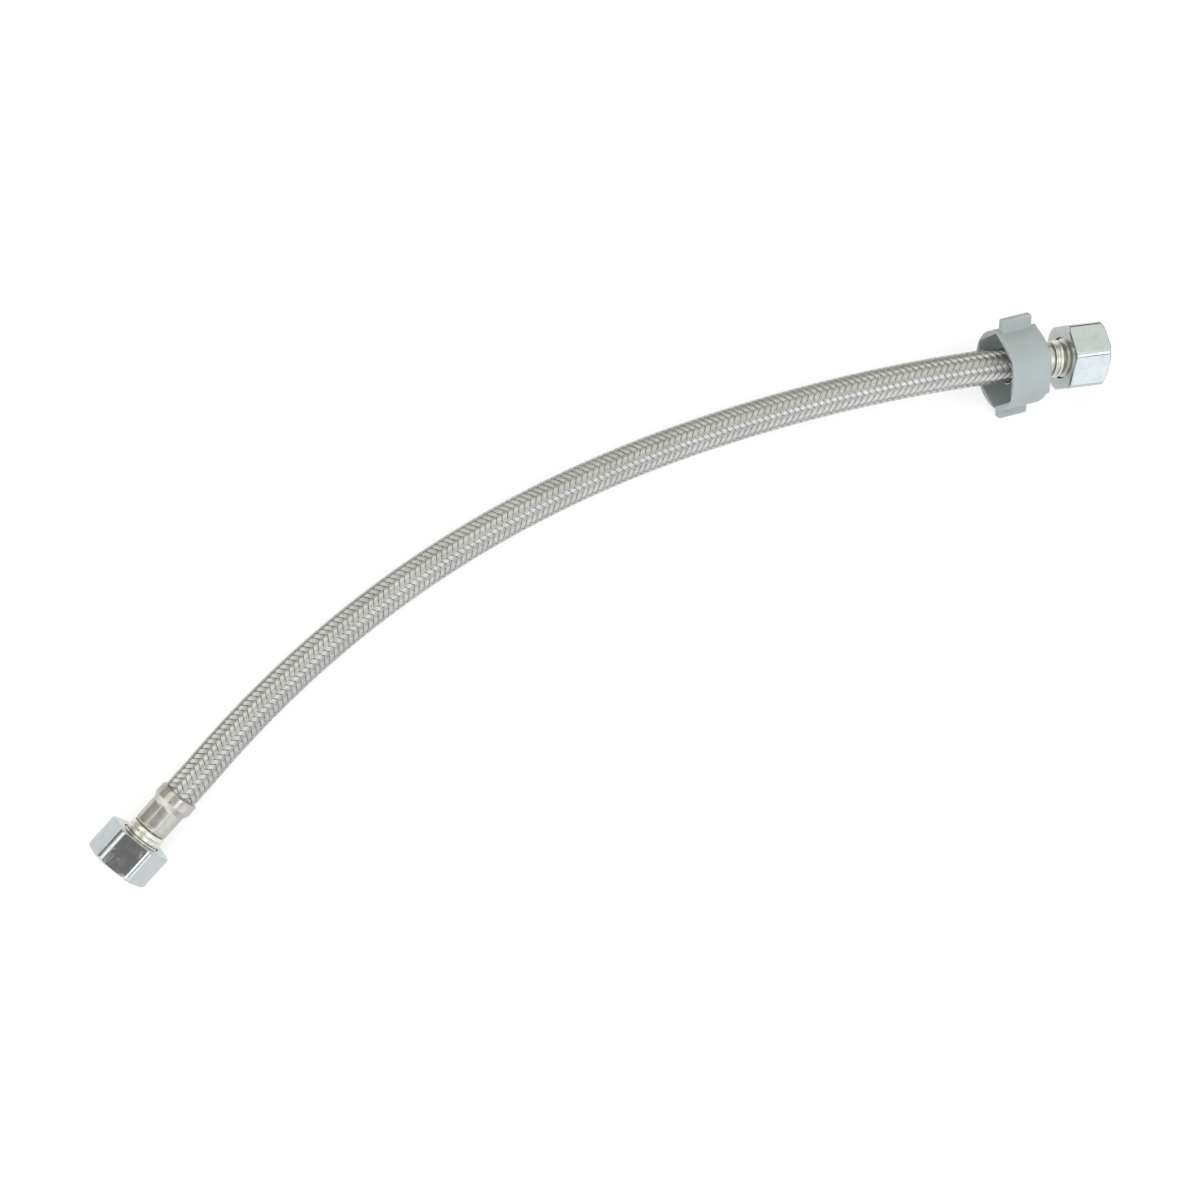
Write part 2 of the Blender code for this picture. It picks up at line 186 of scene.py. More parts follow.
# ---------------------------------------------------------------- node material helpers
class Nodes:
    def __init__(self, name):
        self.mat = bpy.data.materials.new(name)
        self.mat.use_nodes = True
        self.tree = self.mat.node_tree
        self.bsdf = self.tree.nodes["Principled BSDF"]

    def add(self, kind, **values):
        n = self.tree.nodes.new(kind)
        for k, v in values.items():
            if hasattr(n, k) and k not in ("Scale",):
                setattr(n, k, v)
            else:
                n.inputs[k.replace("_", " ")].default_value = v
        return n

    def link(self, a, b):
        self.tree.links.new(a, b)

    def coords(self):
        return self.add("ShaderNodeTexCoord").outputs["Object"]

    def noise(self, vec, scale, detail=2.0, rough=0.5, distortion=0.0):
        n = self.add("ShaderNodeTexNoise")
        n.inputs["Scale"].default_value = scale
        n.inputs["Detail"].default_value = detail
        n.inputs["Roughness"].default_value = rough
        n.inputs["Distortion"].default_value = distortion
        self.link(vec, n.inputs["Vector"])
        return n.outputs["Fac"]

    def ramp(self, fac, stops, interpolation='LINEAR'):
        n = self.add("ShaderNodeValToRGB")
        n.color_ramp.interpolation = interpolation
        els = n.color_ramp.elements
        while len(els) < len(stops):
            els.new(0.5)
        for e, (pos, rgb) in zip(els, stops):
            e.position = pos
            e.color = (*rgb, 1.0) if len(rgb) == 3 else rgb
        self.link(fac, n.inputs["Fac"])
        return n.outputs["Color"]

    def span(self, fac, lo, hi, a=0.0, b=1.0):
        n = self.add("ShaderNodeMapRange")
        n.inputs["From Min"].default_value = lo
        n.inputs["From Max"].default_value = hi
        n.inputs["To Min"].default_value = a
        n.inputs["To Max"].default_value = b
        self.link(fac, n.inputs["Value"])
        return n.outputs["Result"]

    def mix(self, fac, a, b, blend='MIX'):
        n = self.add("ShaderNodeMix", data_type='RGBA')
        n.blend_type = blend
        for sock, v in ((n.inputs[0], fac), (n.inputs[6], a), (n.inputs[7], b)):
            if isinstance(v, (int, float)):
                sock.default_value = v
            elif isinstance(v, tuple):
                sock.default_value = (*v, 1.0)
            else:
                self.link(v, sock)
        return n.outputs[2]

    def math(self, op, a, b=None, c=None):
        n = self.add("ShaderNodeMath", operation=op)
        for i, v in enumerate((a, b, c)):
            if v is None:
                continue
            if isinstance(v, (int, float)):
                n.inputs[i].default_value = v
            else:
                self.link(v, n.inputs[i])
        return n.outputs[0]

    def bump(self, height, strength, distance):
        n = self.add("ShaderNodeBump")
        n.inputs["Strength"].default_value = strength
        n.inputs["Distance"].default_value = distance
        self.link(height, n.inputs["Height"])
        self.link(n.outputs["Normal"], self.bsdf.inputs["Normal"])

    def set(self, name, value):
        s = self.bsdf.inputs[name]
        if isinstance(value, (int, float)):
            s.default_value = value
        elif isinstance(value, tuple):
            s.default_value = (*value, 1.0)
        else:
            self.link(value, s)


def steel_wire():
    m = Nodes("braid_wire")
    c = m.coords()
    # painted shade: the wire colour is mixed towards dark grey (0.21, 0.21, 0.196) by the per-point shade
    # value, darkest where a strand passes under a crossing and on its low wires
    painted_shade = m.add("ShaderNodeAttribute", attribute_name="painted_shade").outputs["Fac"]
    patch = m.noise(c, 60.0, 3.0, 0.6)
    base = m.ramp(patch, [(0.3, (0.53, 0.528, 0.505)), (0.7, (0.61, 0.608, 0.584))])
    base = m.mix(painted_shade, base, (0.21, 0.21, 0.196))
    m.set("Base Color", base)
    m.set("Metallic", 0.9)
    m.set("Roughness", m.span(m.noise(c, 900.0, 2.0), 0.3, 0.7, 0.24, 0.29))
    m.bump(m.noise(c, 4000.0, 2.0), 0.02, 0.00004)
    return m.mat


def rubber(name, value):
    m = Nodes(name)
    c = m.coords()
    m.set("Base Color", m.ramp(m.noise(c, 300.0, 4.0), [(0.3, (value,) * 3),
                                                        (0.7, (value * 1.6,) * 3)]))
    m.set("Roughness", m.span(m.noise(c, 900.0, 3.0), 0.3, 0.7, 0.5, 0.72))
    m.bump(m.noise(c, 2500.0, 3.0), 0.25, 0.00005)
    return m.mat


def chrome():
    """Bright plating with faint wipe marks and fine scratches."""
    m = Nodes("nut_chrome")
    c = m.coords()
    stretch = m.add("ShaderNodeMapping")
    stretch.inputs["Rotation"].default_value = (0.3, 0.5, 0.9)
    stretch.inputs["Scale"].default_value = (900.0, 90.0, 90.0)
    m.link(c, stretch.inputs["Vector"])
    scratch = m.noise(stretch.outputs["Vector"], 1.0, 4.0, 0.7)
    smudge = m.noise(c, 140.0, 4.0, 0.65, 0.6)
    m.set("Base Color", m.ramp(smudge, [(0.35, (0.45, 0.485, 0.50)), (0.65, (0.50, 0.53, 0.545))]))
    m.set("Metallic", 1.0)
    scuffed = m.span(m.noise(c, 170.0, 5.0, 0.66, 1.0), 0.47, 0.72, 0.0, 1.0)
    rough = m.math('ADD', m.span(smudge, 0.4, 0.75, 0.05, 0.12), m.math('MULTIPLY', scuffed, 0.34))
    m.set("Roughness", rough)
    h = m.math('ADD', m.math('MULTIPLY', scratch, 0.35), m.noise(c, 110.0, 2.0, 0.5))
    m.bump(h, 0.05, 0.0004)
    return m.mat


def plated(name, low, high, rough_a, rough_b, streak, relief):
    """Turned or drawn plated metal: rings of tool marks round the axis are fine noise."""
    m = Nodes(name)
    c = m.coords()
    n = m.noise(c, 220.0, 4.0, 0.6, 0.4)
    m.set("Base Color", m.ramp(n, [(0.3, low), (0.7, high)]))
    m.set("Metallic", 1.0)
    m.set("Roughness", m.span(m.noise(c, 420.0, 4.0, 0.6), 0.35, 0.7, rough_a, rough_b))
    m.bump(m.noise(c, streak, 3.0, 0.6), relief, 0.00012)
    return m.mat


def moulded():
    """Matt blue-grey plastic, slightly mottled."""
    m = Nodes("sleeve_plastic")
    c = m.coords()
    n = m.noise(c, 90.0, 4.0, 0.6, 0.3)
    m.set("Base Color", m.ramp(n, [(0.3, (0.256, 0.286, 0.288)), (0.7, (0.295, 0.325, 0.327))]))
    m.set("Roughness", m.span(m.noise(c, 500.0, 4.0), 0.3, 0.7, 0.42, 0.58))
    m.set("Specular IOR Level", 0.4)
    m.set("Subsurface Weight", 0.45)
    m.bsdf.inputs["Subsurface Radius"].default_value = (1.0, 1.0, 1.0)
    m.set("Subsurface Scale", 0.0018)
    m.bump(m.noise(c, 2600.0, 4.0, 0.7), 0.30, 0.00006)
    return m.mat


WIRE = steel_wire()
TUBE = rubber("tube_rubber", 0.018)
WASHER = rubber("washer_rubber", 0.03)
CHROME = chrome()
FERRULE = plated("ferrule_steel", (0.40, 0.385, 0.355), (0.50, 0.485, 0.45), 0.28, 0.42, 500.0, 0.12)
BRASS = plated("nipple_brass", (0.70, 0.695, 0.62), (0.77, 0.76, 0.69), 0.33, 0.38, 1500.0, 0.02)
PLASTIC = moulded()


# ---------------------------------------------------------------- mesh helpers
def mesh_object(name, verts, quads, mat, body, sharp=None, strand=None, matrix=None):
    """verts in mm, quads as rows of four indices."""
    verts = np.asarray(verts, float)
    if matrix is not None:
        m = np.array(matrix, float)
        verts = verts @ m[:3, :3].T + m[:3, 3]
    quads = np.asarray(quads, np.int32)
    me = bpy.data.meshes.new(name)
    me.vertices.add(len(verts))
    me.vertices.foreach_set("co", (verts * MM).astype(np.float32).ravel())
    me.loops.add(quads.size)
    me.loops.foreach_set("vertex_index", quads.ravel())
    me.polygons.add(len(quads))
    me.polygons.foreach_set("loop_start", np.arange(len(quads), dtype=np.int32) * 4)
    me.update(calc_edges=True)
    me.validate()
    me.shade_smooth()
    if sharp:
        me.set_sharp_from_angle(angle=radians(sharp))
    if strand is not None:
        # per-point painted shade for the braid, read by the wire material
        at = me.attributes.new("painted_shade", 'FLOAT', 'POINT')
        at.data.foreach_set("value", np.asarray(strand, np.float32))
    me.materials.append(mat)
    ob = bpy.data.objects.new(name, me)
    bpy.context.scene.collection.objects.link(ob)
    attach(ob, body)
    return ob


def grid_quads(rows, cols, wrap_rows=False, wrap_cols=True, start=0):
    """Quads between consecutive rows of a rows x cols grid of vertices."""
    r = np.arange(rows if wrap_rows else rows - 1)
    c = np.arange(cols if wrap_cols else cols - 1)
    R, C = np.meshgrid(r, c, indexing="ij")
    R2, C2 = (R + 1) % rows, (C + 1) % cols
    q = np.stack([R * cols + C, R * cols + C2, R2 * cols + C2, R2 * cols + C], axis=-1)
    return q.reshape(-1, 4) + start


# ---------------------------------------------------------------- braid
CARRIERS = 12                 # in each direction
LEAD = 29.6
WIRES = 6
STRAND_W = 1.80
WIRE_H = 0.15
WIRE_FOOT = 0.14             # how far the middle wires stand above the outer ones
OVER_R, UNDER_R = 6.56, 6.21  # radius of the strand's foot where it passes over and under
BODY = "hose"

samples = int(HOSE_LENGTH / LEAD * 60)
s_line = np.linspace(0.02, HOSE_LENGTH - 0.02, samples)
beta = np.arctan(2 * pi * 6.6 / LEAD)
# cross section: round wires side by side, each its own strip of three points (left foot, crown,
# right foot), and a skirt down each side of the strand; low points get painted shade
across, lift, strips = [], [], []
pitch = STRAND_W / WIRES
for w in range(WIRES):
    k = len(across)
    for u in (w, w + 0.5, w + 1):
        arch = 1 - (2 * u / WIRES - 1) ** 2
        across.append((u - WIRES / 2) * pitch)
        lift.append(WIRE_FOOT * arch + (WIRE_H if u == w + 0.5 else 0.0))
    strips += [(k, k + 1), (k + 1, k + 2)]
for side in (-1, 1):
    k = len(across)
    pts = [(side * STRAND_W / 2, 0.0), (side * STRAND_W * 0.47, -0.16)]
    for u, h in (pts if side > 0 else pts[::-1]):
        across.append(u)
        lift.append(h)
    strips.append((k, k + 1))
across, lift = np.array(across), np.array(lift)
K = len(across)
rng = np.random.default_rng(7)


def strand(index, way):
    """One carrier's ribbon of wires; way is +1 or -1."""
    turn = s_line / LEAD * 24.0                       # crossings passed along the hose
    base = 2 * pi * index / CARRIERS
    phi = base + way * 2 * pi * s_line / LEAD
    n = (way * 2 * index + (turn if way > 0 else -turn)) if way > 0 else (2 * index - turn)
    wave = np.cos(2 * pi * (n - 0.5) / 4) * way
    low = np.clip(0.5 - 0.5 * wave, 0, 1)              # 0 on a bead's crown, 1 under a crossing
    wave = np.tanh(1.4 * wave) / np.tanh(1.4)
    foot = (OVER_R + UNDER_R) / 2 + (OVER_R - UNDER_R) / 2 * wave
    width = 0.985 + 0.012 * rng.standard_normal()
    drift = 0.02 * np.sin(s_line / 21.0 + rng.uniform(0, 6.28)) * 6.6 / 6.6
    s = s_line[:, None] - way * across[None, :] * width * sin(beta)
    p = (phi + drift * 0.4)[:, None] + across[None, :] * width * cos(beta) / 6.6
    r = foot[:, None] + lift[None, :]
    # painted shade: 1 under a crossing, plus up to 0.25 more the lower a point sits in the strand's cross
    # section
    painted_shade = (1.0 * low)[:, None] + 0.25 * (np.clip(0.3 - lift, 0, 0.3) / 0.3)[None, :]
    return on_hose(s, p, r), painted_shade


def braid(name, way, indices, replaces=()):
    # collects each strand's painted shade values
    verts, quads, shade_tone, start = [], [], [], 0
    for i in indices:
        v, painted_shade = strand(i, way)
        verts.append(v.reshape(-1, 3))
        row = start + np.arange(samples - 1)[:, None] * K
        quads += [np.stack([row[:, 0] + p, row[:, 0] + q, row[:, 0] + K + q, row[:, 0] + K + p], axis=-1)
                  for p, q in strips]
        shade_tone.append(np.clip(painted_shade, 0, 1).ravel())
        start += samples * K
    q = np.concatenate(quads)
    if way > 0:
        q = q[:, ::-1]
    ob = mesh_object(name, np.concatenate(verts), q, WIRE, BODY,
                     strand=np.concatenate(shade_tone))
    if replaces:
        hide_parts(*replaces)
    return ob


braids = [braid("braid_right_a", 1, range(0, 6), ("steel_braid",)),
          braid("braid_right_b", 1, range(6, 12)),
          braid("braid_left_a", -1, range(0, 6)),
          braid("braid_left_b", -1, range(6, 12))]

# the rubber tube under the braid, open at both ends with its wall
rows = np.linspace(0.0, HOSE_LENGTH, 300)
ph = np.arange(40) * 2 * pi / 40


def tube_wall(r_free, r_squeezed):
    k = np.interp(rows, ARC, SQUEEZE)
    r = r_free * (1 - k) + (r_squeezed + HOSE_R - CRIMP_HOSE_R) * k
    return on_hose(np.repeat(rows[:, None], 40, 1), np.repeat(ph[None, :], len(rows), 0),
                   np.repeat(r[:, None], 40, 1))


outer, inner = tube_wall(6.12, 5.2), tube_wall(4.5, 4.0)
both = np.concatenate([outer, inner[::-1]])
tube = mesh_object("rubber_tube", both.reshape(-1, 3), grid_quads(len(both), 40, wrap_rows=True),
                   TUBE, BODY, sharp=50)
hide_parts("inner_tube")


# ---------------------------------------------------------------- nuts
def profile_radius(x, table):
    return np.interp(x, [p[0] for p in table], [p[1] for p in table])


def smooth_min(a, b, k):
    h = np.clip(0.5 + 0.5 * (b - a) / k, 0, 1)
    return b * (1 - h) + a * h - k * h * (1 - h)


def hexagon_radius(theta, af, fillet):
    """Radius of a hexagon's outline with rounded corners; theta 0 is a corner."""
    t = (theta + pi / 6) % (pi / 3) - pi / 6          # from the nearest corner
    t = np.abs(t)
    a = af / 2
    corner = a / cos(pi / 6)
    centre = corner - fillet / cos(pi / 6)            # fillet circle's centre on the corner's ray
    arc = centre * np.cos(t) + np.sqrt(np.maximum(fillet ** 2 - (centre * np.sin(t)) ** 2, 0))
    flat = a / np.cos(pi / 6 - t)
    limit = np.arctan2(fillet * 0.5, centre + fillet * cos(pi / 6))
    return np.where(t < limit, arc, flat)


def hex_angles(af, fillet, turn, per_flat=14, per_corner=9):
    """Angles round a hexagon with close samples in the corners."""
    a = af / 2
    centre = a / cos(pi / 6) - fillet / cos(pi / 6)
    limit = float(np.arctan2(fillet * 0.5, centre + fillet * cos(pi / 6)))
    one = list(np.linspace(-limit, limit, per_corner))
    one += list(np.linspace(limit, pi / 3 - limit, per_flat + 2)[1:-1])
    return np.concatenate([np.array(one) + i * pi / 3 for i in range(6)]), turn


def ring(x, r, theta):
    """Points at axial place x, radius r and angle theta from +Z towards +Y."""
    x = np.broadcast_to(x, np.shape(theta))
    return np.stack([x, r * np.sin(theta), r * np.cos(theta)], axis=-1)


def smoothstep(u):
    u = np.clip(u, 0.0, 1.0)
    return u * u * (3 - 2 * u)


NUT_AF = 24.0
PITCH = 1.814


def nut(name, frame_matrix, turn_deg, body, node, fillet):
    """Swivel nut: a small chamfer at the hose side, a deeper one at the open end."""
    th, _ = hex_angles(NUT_AF, fillet, 0.0)
    th = th + radians(turn_deg)
    hexr = hexagon_radius(th - radians(turn_deg), NUT_AF, fillet)
    r0 = NUT_AF / 2
    cut = [(-0.01, r0 + 0.25), (0.12, r0 + 0.65), (0.35, r0 + 1.1), (0.7, r0 + 1.6), (1.9, r0 + 2.3),
           (12.1, r0 + 2.1), (13.05, r0 + 1.4), (13.65, r0 + 0.8), (13.88, r0 + 0.42),
           (14.01, r0 + 0.0)]
    xs = np.concatenate([[0.0, 0.03, 0.1, 0.2, 0.32, 0.5, 0.65, 0.8, 0.95, 1.1, 1.3, 1.5, 1.8, 2.4,
                          4.0], [5.5, 7.0, 8.5]])
    xs = np.concatenate([xs, (14.0 - xs[:15])[::-1]])
    edge = 0.45                                       # the facets' own ends are rounded a little
    rings = []
    # back face, from the hole outwards
    for f in (0.0, 0.04, 0.5, 0.9):
        rings.append(ring(0.0, 7.9 + (r0 - edge - 7.9) * f + 0 * th, th))
    for x in xs:
        e = min(x, 14.0 - x)
        lip = edge - sqrt(max(edge ** 2 - (edge - e) ** 2, 0.0)) if e < edge else 0.0
        r = smooth_min(hexr - lip, profile_radius(x, cut) - lip * 0.6 + 0 * th, 0.18)
        rings.append(ring(x, r, th))
    # open face, then the bore
    for f in (0.9, 0.5, 0.04, 0.0):
        rings.append(ring(14.0, 10.55 + (r0 - edge - 10.55) * f + 0 * th, th))
    rings.append(ring(13.93, 10.48 + 0 * th, th))
    # thread: crest 9.32, root 10.35, running out at both ends
    bore = np.linspace(13.9, 7.0, 104)
    for x in bore:
        ph = (x / PITCH - (th - th[0]) / (2 * pi)) % 1.0
        tri = np.abs(2 * ph - 1)                      # 0 at the crest, 1 at the root
        tooth = smoothstep((tri - 0.12) / 0.76)
        fade = float(smoothstep((x - 7.0) / 1.2))
        mouth = float(smoothstep((x - 13.05) / 0.85))
        r = 9.35 + 0.95 * tooth * fade + (1 - fade) * 0.25
        r = r * (1 - mouth) + 10.45 * mouth
        rings.append(ring(x, np.maximum(r, 9.35 + 1.15 * mouth), th))
    for x, r in ((6.6, 9.6), (4.5, 9.6), (2.9, 9.6), (2.65, 9.55), (2.6, 9.4), (2.6, 8.6),
                 (2.6, 8.0), (2.55, 7.92), (2.4, 7.9), (1.3, 7.9), (0.2, 7.9)):
        rings.append(ring(x, r + 0 * th, th))
    v = np.array(rings)
    ob = mesh_object(name, v.reshape(-1, 3), grid_quads(len(v), len(th), wrap_rows=True), CHROME,
                     body, sharp=48, matrix=frame_matrix)
    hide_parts(node)
    return ob


nut("nut_at_left_end", LEFT, 30.0 + 7.7, "left_nut", "left_nut", 3.7)
nut("nut_at_right_end", RIGHT, -12.0, "right_nut", "right_nut", 2.6)


# ---------------------------------------------------------------- turned parts
def rounded(profile, radius=0.12, steps=3):
    """The closed profile [(axial, radius), ...] with each corner rounded."""
    pts = [np.array(p, float) for p in profile]
    n = len(pts)
    out = []
    for i in range(n):
        a, b, c = pts[i - 1], pts[i], pts[(i + 1) % n]
        la, lc = np.linalg.norm(a - b), np.linalg.norm(c - b)
        d = min(radius, la * 0.4, lc * 0.4)
        p0, p1 = b + (a - b) / la * d, b + (c - b) / lc * d
        for k in range(steps + 1):
            u = k / steps
            out.append((1 - u) ** 2 * p0 + 2 * u * (1 - u) * b + u ** 2 * p1)
    return np.array(out)


def turned(name, profile, frame_matrix, mat, body, segments, radius=0.12, shape=None, sharp=50):
    prof = rounded(profile, radius)
    th = np.arange(segments) * 2 * pi / segments
    x = np.repeat(prof[:, 0][:, None], segments, 1)
    r = np.repeat(prof[:, 1][:, None], segments, 1)
    t = np.repeat(th[None, :], len(prof), 0)
    if shape is not None:
        x, r = shape(x, r, t)
    v = np.stack([x, r * np.sin(t), r * np.cos(t)], axis=-1)
    return mesh_object(name, v.reshape(-1, 3), grid_quads(len(prof), segments, wrap_rows=True),
                       mat, body, sharp=sharp, matrix=frame_matrix)


FLATS = 10


def ferrule(name, frame_matrix, node, turn):
    """Crimped length with pressed flats, a step, and a flared length over the free hose."""
    steps = [(FER_END, 7.08), (FER_END, 7.62), (FER_END + 0.25, 7.82), (FER_END + 1.2, 7.88),
             (FER_END + 3.2, 7.87), (FER_STEP - 1.9, 7.87), (FER_STEP - 0.35, 7.10),
             (FER_STEP + 0.1, 6.90), (FER_STEP + 0.6, 6.82)]
    body = [(x, 6.80) for x in np.linspace(FER_STEP + 1.1, FER_START - 0.9, 9)]
    tip = [(FER_START - 0.35, 6.74), (FER_START + 0.05, 6.55), (FER_START + 0.27, 6.3), (FER_START + 0.27, 4.1),
           (FER_START - 0.9, 4.1), (FER_START - 0.9, 6.25), (FER_STEP + 0.2, 6.25),
           (FER_STEP - 0.9, 7.12), (FER_END + 1.0, 7.12)]

    def shape(x, r, t):
        span = 2 * pi / FLATS
        d = ((t - turn) / span - np.floor((t - turn) / span + 0.5)) * span
        outside = r > 6.4
        a0, a1 = FER_STEP - 0.3, FER_START - 0.5
        zone = smoothstep((x - a0) / 1.2) * (1 - smoothstep((x - a1 + 1.0) / 1.0))
        flat = 6.62 / np.cos(np.abs(d) * 0.97)
        ridge = np.minimum(flat, 6.96)
        crimped = np.where(outside, r + 0.62 * (ridge - 6.80) * zone, r)
        # the flared length keeps a trace of the jaws, and its mouth is a little uneven
        trace = 0.10 * np.cos(d * FLATS) * (1 - zone) * np.where(r > 7.3, 1.0, 0.0)
        crimped = crimped - np.maximum(trace, 0.0) * 0.8
        mouth = np.where(x < FER_END + 0.6, 0.16 * np.sin(3 * t + 0.6) + 0.10 * np.sin(7 * t), 0.0)
        return x + np.maximum(mouth, 0.0), crimped
    ob = turned(name, steps + body + tip, frame_matrix, FERRULE, BODY, 160,
                0.16, shape, 50)
    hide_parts(node)
    return ob


COLLARS = {                   # rings and grooves between the nut's back and the ferrule
    "left": [(0.55, 7.5), (0.2, 7.42), (-0.12, 7.2), (-0.36, 7.2), (-0.6, 7.4), (-2.0, 7.42),
             (-2.25, 7.25), (-2.35, 6.98), (-2.62, 6.98), (-2.72, 7.2), (-2.95, 7.32), (-4.1, 7.25),
             (-4.5, 7.0), (-4.6, 6.6)],
    "right": [(0.55, 7.5), (0.35, 6.12), (-1.05, 6.12), (-1.25, 6.6), (-1.5, 7.0), (-1.9, 7.2),
              (-2.3, 7.2), (-2.65, 7.0), (-2.9, 6.6), (-3.05, 6.35), (-3.6, 6.35), (-3.8, 6.7),
              (-4.1, 6.9), (-4.5, 6.88),
              (-4.6, 6.6)]}


def nipple(name, frame_matrix, node, side):
    """Collar with two rings behind the nut, a head inside it and a barbed stem in the tube."""
    barbs = []
    a = FER_START - 1.6
    while a > FER_END + 3.5:
        barbs += [(a, 3.35), (a - 2.4, 3.70)]
        a -= 2.8
    prof = [(4.8, 8.9), (4.5, 9.2), (2.9, 9.2), (2.9, 7.55)] + COLLARS[side] + [(-4.6, 3.4)]
    prof += barbs + [(FER_END + 1.0, 3.2), (FER_END + 1.0, 2.9), (4.8, 2.9)]
    ob = turned(name, prof, frame_matrix, BRASS, BODY, 96, 0.13, None, 45)
    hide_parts(node)
    return ob


def washer(name, frame_matrix, node):
    ob = turned(name, [(5.1, 5.0), (5.1, 9.1), (7.7, 9.1), (7.7, 5.0)], frame_matrix, WASHER,
                BODY, 72, 0.35, None, 60)
    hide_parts(node)
    return ob


for side, m, turn in (("left", LEFT, 0.12), ("right", RIGHT, 0.3)):
    ferrule("ferrule_" + side, m, side + "_ferrule", turn)
    nipple("nipple_" + side, m, side + "_nipple", side)
    washer("washer_" + side, m, side + "_washer")


# ---------------------------------------------------------------- winged sleeve
SLV_R, SLV_AF, SLV_TURN = 15.6, 26.6, 5.5
WING_TIP_R, WING_T = 20.3, 3.2
WING_FROM, WING_TO = 1.9, 13.3
WING_DIRS = (radians(SLV_TURN - 60.0) * -1, radians(SLV_TURN - 60.0) * -1 + pi)


def sleeve(name):
    """One closed mesh: rings round the outside from the hose side to the nut side, then back
    through the hexagonal hole. Points near a wing rise from the barrel to the wing's outline."""
    half = radians(11.0)
    zone_pts = []
    h = WING_T / 2
    root = sqrt(SLV_R ** 2 - h ** 2)
    fil = 0.9
    # right half of a wing's outline: (radial, tangential), from the barrel to the tip's middle
    outline = []
    for k in range(7):
        u = k / 6
        p0 = np.array([SLV_R * cos(half * 0.86), SLV_R * sin(half * 0.86)])
        p1 = np.array([root, h])
        p2 = np.array([root + fil * 1.2, h])
        outline.append((1 - u) ** 2 * p0 + 2 * u * (1 - u) * p1 + u ** 2 * p2)
    for k in range(1, 5):
        u = k / 4
        outline.append(np.array([root + fil * 1.2 + (WING_TIP_R - 0.55 - root - fil * 1.2) * u, h]))
    for k in range(1, 6):
        t = k / 5 * pi / 2
        outline.append(np.array([WING_TIP_R - 0.55 + 0.55 * sin(t), h - 0.55 + 0.55 * cos(t)]))
    outline.append(np.array([WING_TIP_R, h * 0.3]))
    outline = np.array(outline)
    n = len(outline)
    base_t = np.linspace(half * 0.86, half * 0.05, n)
    around, raised = [], []                           # angle on the barrel, raised (y', z') or None
    others = np.arange(0, 360, 3.0) * pi / 180
    events = []
    for w in WING_DIRS:
        for side in (1, -1):
            for k in range(n):
                ang = w + side * base_t[k]
                rad, tang = outline[k]
                direction = np.array([sin(w), cos(w)])
                normal = np.array([cos(w), -sin(w)])
                events.append((ang % (2 * pi), direction * rad + normal * tang * side))
    for t in others:
        if all(abs((t - w + pi) % (2 * pi) - pi) > half * 0.9 for w in WING_DIRS):
            events.append((t, None))
    events.sort(key=lambda e: e[0])
    th = np.array([e[0] for e in events])
    wing = np.array([e[1] if e[1] is not None else (0, 0) for e in events])
    is_wing = np.array([e[1] is not None for e in events])

    def out_ring(x, r_barrel, up):
        p = np.stack([r_barrel * np.sin(th), r_barrel * np.cos(th)], axis=-1)
        p = np.where(is_wing[:, None], p * (1 - up) + wing * up, p)
        return np.concatenate([np.full((len(th), 1), x), p], axis=1)

    inner_r = hexagon_radius(th + radians(SLV_TURN), SLV_AF, 1.1)

    def in_ring(x, grow):
        r = inner_r + grow
        return np.stack([np.full(len(th), x), r * np.sin(th), r * np.cos(th)], axis=-1)

    L, R = SLV_LENGTH, SLV_R
    rings = []
    e = 0.35
    for t in np.linspace(0, pi / 2, 5):               # rim at the hose side
        rings.append(out_ring(e - e * cos(t) * 1.0, R - 0.5 + 0.5 * sin(t), 0.0))
    rings.append(out_ring(WING_FROM - 0.08, R, 0.0))
    for t in np.linspace(0, pi / 2, 6):               # wing's end face with a rounded edge
        up = 0.0 if t == 0 else None
        rings.append(out_ring(WING_FROM + 0.45 * (1 - cos(t)), R,
                              0.02 if t == 0 else 0.90 + 0.10 * sin(t)))
    for x in np.linspace(WING_FROM + 0.9, WING_TO - 0.9, 9):
        rings.append(out_ring(x, R, 1.0))
    for t in np.linspace(pi / 2, 0, 6):
        rings.append(out_ring(WING_TO - 0.45 * (1 - cos(t)), R if WING_TO < L - 2.0 else R,
                              0.02 if t == 0 else 0.90 + 0.10 * sin(t)))
    rnd = 1.8
    for t in np.linspace(0, pi / 2, 9):               # rounded end at the nut side
        shrunk = np.maximum(R - rnd + rnd * cos(t), np.minimum(inner_r + 0.22, R))
        rings.append(out_ring(L - rnd + rnd * sin(t), shrunk, 0.0))
    for x, g in ((L, 0.30), (L - 0.06, 0.12), (L - 0.25, 0.0), (L - 1.0, 0.0), (L * 0.7, 0.0),
                 (L * 0.4, 0.0), (1.0, 0.0), (0.3, 0.0), (0.06, 0.1), (0.0, 0.25)):
        rings.append(in_ring(x, g))
    v = np.array(rings)
    ob = mesh_object(name, v.reshape(-1, 3), grid_quads(len(v), len(th), wrap_rows=True), PLASTIC,
                     "wing_sleeve", sharp=42, matrix=SLEEVE)
    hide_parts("wing_sleeve")
    return ob


sleeve("winged_sleeve")


# ---------------------------------------------------------------- floor, light
def floor_material():
    m = Nodes("pale_floor")
    m.set("Base Color", (0.28, 0.283, 0.28))
    m.set("Emission Color", (1.0, 1.0, 1.0))
    m.set("Emission Strength", 0.68)
    m.set("Roughness", 0.85)
    m.set("Specular IOR Level", 0.1)
    return m.mat


me = bpy.data.meshes.new("floor")
E = 9.0
me.from_pydata([(-E, -E, 0), (E, -E, 0), (E, E, 0), (-E, E, 0)], [], [(0, 1, 2, 3)])
me.materials.append(floor_material())
floor = bpy.data.objects.new("floor", me)
floor.location.z = -0.00005
bpy.context.scene.collection.objects.link(floor)

bpy.context.scene.view_settings.view_transform = 'Standard'
world = bpy.data.worlds.new("studio")
bpy.context.scene.world = world
world.use_nodes = True
W = world.node_tree
back = W.nodes["Background"]


def w_node(kind, **values):
    n = W.nodes.new(kind)
    for k, v in values.items():
        setattr(n, k, v)
    return n


